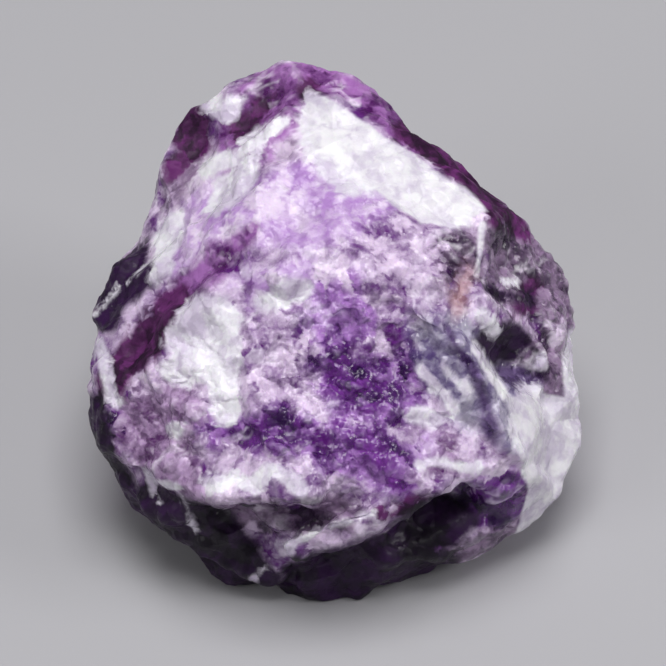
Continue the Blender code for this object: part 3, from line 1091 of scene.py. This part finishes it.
    def build(self) -> bpy.types.Material:
        """Makes the material.

        Returns:
            The material.
        """
        shader = Shader("amethyst")
        places = shader.millimetres()
        tone = self.mottle(shader, places)
        ragged = shader.noise(places, self.ragged_size, self.ragged_detail, self.ragged_rough) - MIDDLE
        by_crystal = shader.attribute(Mark.OUTLINE)
        colour = shader.blend(tone, self.grain.dark, self.grain.light)
        roughness: Link | float = self.grain.roughness
        clearness: Link | float = self.grain.clearness
        sparkle: Link | float = self.grain.sparkle
        veil = self.veils(shader, places)
        relief = shader.attribute(Mark.RELIEF)
        # Painted shade where the surface sinks below its surroundings, and painted highlight where it stands
        # out.
        hollow = shader.ease(relief, *self.hollows)
        edge = shader.ease(relief, *self.edges)
        for zone, finish in ZONE_FINISHES.items():
            strayed = ragged * (finish.ragged / MIDDLE) + by_crystal * finish.blocky
            mask = shader.ease(shader.attribute(zone) + strayed, -finish.soft, finish.soft)
            colour = shader.blend(mask, colour, shader.blend(tone, finish.dark, finish.light))
            roughness = shader.between(mask, roughness, finish.roughness)
            clearness = shader.between(mask, clearness, finish.clearness)
            sparkle = shader.between(mask, sparkle, finish.sparkle)
            if zone is self.veiled:
                colour = shader.blend(veil * self.veil_share, colour, self.veil_and_highlight_colour)
                clearness = clearness * (1 - veil)
                # Painted shade in hollows and painted highlight on edges.
                colour = shader.blend(hollow * self.hollow_shade_share, colour, self.hollow_shade_colour)
                colour = shader.blend(edge * self.edge_highlight_share, colour, self.veil_and_highlight_colour)
        lean, glint = shader.facets(places, self.sparkle_size, self.sparkle_tilt)
        finer_size, finer_tilt = self.sparkle_size * self.finer_size, self.sparkle_tilt * self.finer_tilt
        finer_lean, _ = shader.facets(places, finer_size, finer_tilt)
        normal = shader.leaning((shader.scaled(lean, sparkle), shader.scaled(finer_lean, sparkle)))
        cloudy = self.cloudy(shader, colour, roughness + (glint - MIDDLE) * self.glint, normal)
        clear = self.clear(shader, normal)
        clearness = clearness * (1 - edge * self.edge_haze)
        mixed = shader.node("ShaderNodeMixShader", None, {0: clearness, 1: cloudy, 2: clear})
        surface = shader.out(mixed, "Shader")
        inside = {"Color": self.depth_colour, "Density": self.depth_density}
        volume = shader.out(shader.node("ShaderNodeVolumeAbsorption", None, inside), "Volume")
        return shader.finished({"Surface": surface, "Volume": volume})

    def cloudy(self, shader: Shader, colour: Link, roughness: Link, normal: Link) -> Link:
        """Adds the shader of the cloudy crystal.

        Args:
            shader: The material's node tree.
            colour: The crystal's colour.
            roughness: Its roughness.
            normal: The direction that its small faces face in.

        Returns:
            The shader.
        """
        return shader.principled({
            "Base Color": colour,
            "Roughness": roughness,
            "IOR": self.refraction,
            "Specular IOR Level": self.gloss,
            "Normal": normal,
            "Subsurface Weight": self.glow,
            "Subsurface Radius": self.glow_reach,
            "Subsurface Scale": 1.0,
        })

    def clear(self, shader: Shader, normal: Link) -> Link:
        """Adds the shader of the clear crystal.

        Args:
            shader: The material's node tree.
            normal: The direction that its small faces face in.

        Returns:
            The shader.
        """
        return shader.principled({
            "Base Color": self.clear_colour,
            "Roughness": self.clear_roughness,
            "IOR": self.refraction,
            "Transmission Weight": 1.0,
            "Normal": normal,
        })


@dataclass(frozen=True)
class FloorFinish:
    """A plain pale floor with a faint unevenness.

    Args:
        pale: Its darker colour.
        paler: Its lighter colour.
        roughness: Its roughness.
        cloud: The size of the unevenness, in millimetres.
    """

    pale: Colour = paint(170, 169, 173)
    paler: Colour = paint(178, 177, 181)
    roughness: float = 0.75
    cloud: float = 200.0

    def build(self) -> bpy.types.Material:
        """Makes the material.

        Returns:
            The material.
        """
        shader = Shader("pale_floor")
        places = shader.millimetres()
        colour = shader.blend(shader.noise(places, self.cloud), self.pale, self.paler)
        surface = shader.principled({"Base Color": colour, "Roughness": self.roughness})
        return shader.finished({"Surface": surface})


@dataclass
class Lump:
    """The amethyst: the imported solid's shape, broken up further into small crystals and chips.

    Args:
        voxel: The size of the faces that carry the fine relief, in millimetres.
        triangles: How many triangles the finished mesh may have.
        rounding: How many times the solid's flat facets are smoothed before the crystals are added.
        smoothing: How far each smoothing moves a point towards its neighbours' middle, as a share.
        crease: How many degrees two faces turn by before the edge between them stays sharp.
        large: The large crystals.
        medium: The medium crystals.
        small: The small crystals.
        chips: The scars of small chips.
        bed_slope: How much a rough bed sets in for each millimetre inside it.
        clean_height: How far up from the table the level base stays without relief, in millimetres.
        clean_fade: Over how many more millimetres the relief sets in.
        zone_wander_size: The size of the wandering of the zones' outlines, in millimetres.
        zone_wander: How far those outlines wander, in millimetres.
        zone_seed: The seed of that wandering.
        coarse_outline: How far the zones' outlines follow medium crystals, from one to the next.
        fine_outline: The same for small crystals.
        surroundings: How many steps along the mesh a point's surroundings reach.
    """

    voxel: float = 0.14
    triangles: int = 196_000
    rounding: int = 4
    smoothing: float = 0.5
    crease: float = 10.0
    large: CrystalMass = CrystalMass(4.0, 0.1, 23, Showing(0.34))
    medium: CrystalMass = CrystalMass(1.9, 0.12, 31, Showing(0.2, glassy=0.65, frosted=0.4))
    small: CrystalMass = CrystalMass(0.85, 0.12, 47, Showing(0.16, bed=0.44, glassy=0.8))
    chips: ChipScars = ChipScars()
    bed_slope: float = 0.6
    clean_height: float = 0.15
    clean_fade: float = 0.6
    zone_wander_size: float = 2.4
    zone_wander: float = 0.35
    zone_seed: int = 5
    coarse_outline: float = 1.2
    fine_outline: float = 0.9
    surroundings: int = 14

    def build(self) -> bpy.types.Object:
        """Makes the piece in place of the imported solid.

        Returns:
            The piece.
        """
        piece = placed("amethyst_lump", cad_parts[NODE].data.copy())
        self.refine(piece)
        self.break_up(piece.data)
        self.thin(piece)
        self.mark(piece.data)
        piece.data.materials.clear()
        piece.data.materials.append(AmethystFinish().build())
        return piece

    def settle(self, piece: bpy.types.Object) -> None:
        """Carries out the piece's modifiers on its mesh.

        Args:
            piece: The piece.
        """
        bpy.context.view_layer.update()
        shaped = piece.evaluated_get(bpy.context.evaluated_depsgraph_get())
        mesh = bpy.data.meshes.new_from_object(shaped)
        piece.modifiers.clear()
        piece.data = mesh

    def refine(self, piece: bpy.types.Object) -> None:
        """Gives the piece small even faces, and rounds the solid's facets a little.

        Args:
            piece: The piece.
        """
        even = piece.modifiers.new("even_faces", "REMESH")
        even.mode = "VOXEL"
        even.voxel_size = self.voxel * MM
        smooth = piece.modifiers.new("rounding", "SMOOTH")
        smooth.factor = self.smoothing
        smooth.iterations = self.rounding
        self.settle(piece)

    def thin(self, piece: bpy.types.Object) -> None:
        """Takes out the triangles that the relief can do without.

        Each of the even faces is a square, so it stands for two triangles.

        Args:
            piece: The piece.
        """
        fewer = piece.modifiers.new("fewer_faces", "DECIMATE")
        fewer.ratio = min(1.0, self.triangles / (2 * len(piece.data.polygons)))
        self.settle(piece)
        piece.data.shade_smooth()
        piece.data.set_sharp_from_angle(angle=math.radians(self.crease))

    def ground(self, places: np.ndarray) -> Ground:
        """Says what each place is like to break.

        Args:
            places: The (across, up, out) places, one a row.

        Returns:
            How granular, glassy and frosted each place is.
        """
        bed = np.clip(depth_of(GRAIN_BEDS, places) * self.bed_slope, 0, 1)
        glassy = np.clip(depth_of(GLASSY_BREAKS + PATCHES[Zone.SNOW_AND_GLARE], places), 0, 1)
        frosted = np.clip(depth_of(PATCHES[Zone.FROST_AND_GLARE] + PATCHES[Zone.SNOW_AND_GLARE], places), 0, 1)
        return Ground(bed, glassy, frosted)

    def break_up(self, mesh: bpy.types.Mesh) -> None:
        """Adds the relief of crystals and chips, deep in the granular beds and faint on glassy breaks.

        Args:
            mesh: The piece's mesh.
        """
        framed, outwards, places = surface_of(mesh)
        ground = self.ground(places)
        relief = np.zeros(len(places))
        for crystals in (self.large, self.medium, self.small):
            relief += crystals.showing.on(ground) * crystals.at(places).relief
        relief += self.chips.showing.on(ground) * self.chips.at(places)
        relief *= np.clip((framed[:, 2] - self.clean_height) / self.clean_fade, 0, 1)
        framed = framed + outwards * relief[:, None]
        mesh.vertices.foreach_set("co", (framed * MM).astype(np.float32).ravel())
        mesh.update()

    def mark(self, mesh: bpy.types.Mesh) -> None:
        """Keeps at each point what the material needs: zones, tones, and how far it stands out.

        Args:
            mesh: The piece's mesh.
        """
        framed, outwards, places = surface_of(mesh)
        wander = Unevenness(self.zone_wander_size, self.zone_seed, 3).at(places)
        strayed = places + wander * self.zone_wander
        for zone, patches in PATCHES.items():
            keep(mesh, zone, depth_of(patches, strayed))
        medium, small = self.medium.at(places), self.small.at(places)
        keep(mesh, Mark.COARSE_TONE, medium.tone)
        keep(mesh, Mark.FINE_TONE, small.tone)
        coarse, fine = self.coarse_outline * (medium.lot - MIDDLE), self.fine_outline * (small.lot - MIDDLE)
        keep(mesh, Mark.OUTLINE, coarse + fine)
        # How far each point stands out. The material paints shade in hollows and highlights on edges from it.
        around = averaged(mesh, framed, self.surroundings)
        keep(mesh, Mark.RELIEF, ((framed - around) * outwards).sum(axis=1))


def rows_of(vectors: bpy.types.bpy_prop_collection, name: str) -> np.ndarray:
    """Reads one vector of each of a mesh's points.

    Args:
        vectors: The points, or the directions that they face in.
        name: The vector's name there.

    Returns:
        The vectors, one a row.
    """
    flat = np.empty(len(vectors) * 3, np.float32)
    vectors.foreach_get(name, flat)
    return flat.reshape(-1, 3).astype(float)


def surface_of(mesh: bpy.types.Mesh) -> tuple[np.ndarray, np.ndarray, np.ndarray]:
    """Reads the points of the lump's mesh.

    Args:
        mesh: The mesh.

    Returns:
        Their places in the frame in millimetres, the directions that they face in, and their (across, up,
        out) places, all one a row.
    """
    framed = rows_of(mesh.vertices, "co") / MM
    turn = np.array(Matrix.Rotation(FACE_SLOPE, 3, "X"))
    return framed, rows_of(mesh.vertex_normals, "vector"), (framed - np.array(LUMP_CENTRE)) @ turn


def averaged(mesh: bpy.types.Mesh, places: np.ndarray, times: int) -> np.ndarray:
    """Moves each point of a mesh to the middle of its neighbours.

    Args:
        mesh: The mesh.
        places: Its points, one a row.
        times: How many times they are moved.

    Returns:
        The moved points.
    """
    ends = np.empty(len(mesh.edges) * 2, np.int32)
    mesh.edges.foreach_get("vertices", ends)
    first, second = ends.reshape(-1, 2).T
    count = np.bincount(first, minlength=len(places)) + np.bincount(second, minlength=len(places))
    for _ in range(times):
        total = np.zeros_like(places)
        for axis, here in enumerate(places.T):
            total[:, axis] += np.bincount(first, here[second], len(places))
            total[:, axis] += np.bincount(second, here[first], len(places))
        places = total / count[:, None]
    return places


def keep(mesh: bpy.types.Mesh, kept: Zone | Mark, values: np.ndarray) -> None:
    """Keeps one number at each point of the mesh."""
    made = mesh.attributes.new(kept.value, "FLOAT", "POINT")
    made.data.foreach_set("value", values.astype(np.float32))


def placed(name: str, data: bpy.types.ID) -> bpy.types.Object:
    """Puts a mesh, a light or a camera into the scene.

    Args:
        name: The name of its object.
        data: The mesh, light or camera.

    Returns:
        The object.
    """
    made = bpy.data.objects.new(name, data)
    bpy.context.scene.collection.objects.link(made)
    return made


def look_at(looker: bpy.types.Object, target: Vector, direction: Vector, distance: float) -> None:
    """Moves a light or a camera away from the target in a direction, and points it back there."""
    looker.location = target + direction * distance
    looker.rotation_euler = direction.to_track_quat("Z", "Y").to_euler()


@dataclass(frozen=True)
class Softbox:
    """A square studio light that looks at the lump.

    Args:
        name: Its name.
        towards: The direction from the lump to the light.
        distance: How far away it is, in metres.
        side: Its side, in metres.
        power: Its power, in watts.
        colour: Its colour.
    """

    name: str
    towards: tuple[float, float, float]
    distance: float
    side: float
    power: float
    colour: tuple[float, float, float] = (1.0, 1.0, 1.0)

    def build(self, target: Vector) -> None:
        """Hangs the light.

        Args:
            target: The middle of the lump, in metres.
        """
        light = bpy.data.lights.new(self.name, "AREA")
        light.shape = "SQUARE"
        light.size = self.side
        light.energy = self.power
        light.color = self.colour
        look_at(placed(self.name, light), target, Vector(self.towards).normalized(), self.distance)


@dataclass
class Studio:
    """The floor, the lights and the camera.

    Args:
        floor_side: The floor's side, in metres.
        lens: The camera's focal length, in millimetres.
        view_width: How wide the view is at the lump, in metres.
        camera_slope: How far the camera looks down, in degrees.
        camera_nearest: How near to the camera things show, in metres.
        softboxes: The lights.
        world_colour: The colour of the room's own light.
        world_strength: The strength of that light.
    """

    floor_side: float = 1.6
    lens: float = 250.0
    view_width: float = 0.047
    camera_slope: float = 45.0
    camera_nearest: float = 0.01
    softboxes: tuple[Softbox, ...] = (
        Softbox("overhead", (0.0, -0.04, 0.95), 0.5, 0.3, 2.2),
        Softbox("left_fill", (-0.8, -0.6, 0.7), 0.55, 0.2, 0.4),
        Softbox("right_fill", (0.9, -0.2, 0.6), 0.6, 0.2, 0.9),
    )
    world_colour: Colour = (0.9, 0.9, 0.93, 1.0)
    world_strength: float = 0.15

    def build(self, target: Vector) -> None:
        """Sets up the studio.

        Args:
            target: The middle of the lump, in metres.
        """
        self.lay_floor()
        for softbox in self.softboxes:
            softbox.build(target)
        self.light_world()
        self.place_camera(target)

    def lay_floor(self) -> None:
        """Lays the floor under the lump."""
        half = self.floor_side / 2
        mesh = bpy.data.meshes.new("floor")
        corners = [(-half, -half, 0), (half, -half, 0), (half, half, 0), (-half, half, 0)]
        mesh.from_pydata(corners, [], [(0, 1, 2, 3)])
        mesh.materials.append(FloorFinish().build())
        placed("floor", mesh)

    def light_world(self) -> None:
        """Gives the room its even, pale light."""
        world = bpy.data.worlds.new("studio")
        world.use_nodes = True
        background = world.node_tree.nodes["Background"]
        background.inputs["Color"].default_value = self.world_colour
        background.inputs["Strength"].default_value = self.world_strength
        bpy.context.scene.world = world
        bpy.context.scene.view_settings.view_transform = "Standard"

    def place_camera(self, target: Vector) -> None:
        """Places the camera square to the broad face.

        Args:
            target: The middle of the lump, in metres.
        """
        camera = bpy.data.cameras.new("camera")
        camera.lens = self.lens
        camera.clip_start = self.camera_nearest
        rig = placed("camera", camera)
        slope = math.radians(self.camera_slope)
        direction = Vector((0, -math.cos(slope), math.sin(slope)))
        look_at(rig, target, direction, self.view_width * self.lens / camera.sensor_width)
        bpy.context.scene.camera = rig


def main() -> None:
    """Builds the lump and the studio, and reports each."""
    logging.basicConfig(level=logging.INFO, format="%(name)s: %(message)s")
    lump = Lump().build()
    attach(lump, "root")
    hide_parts(NODE)
    lump.data.calc_loop_triangles()
    log.info("%s: %d triangles", lump.name, len(lump.data.loop_triangles))
    Studio().build(Vector(LUMP_CENTRE) * MM)
    log.info("studio: floor, lights and camera")


if __name__ == "__main__":
    main()
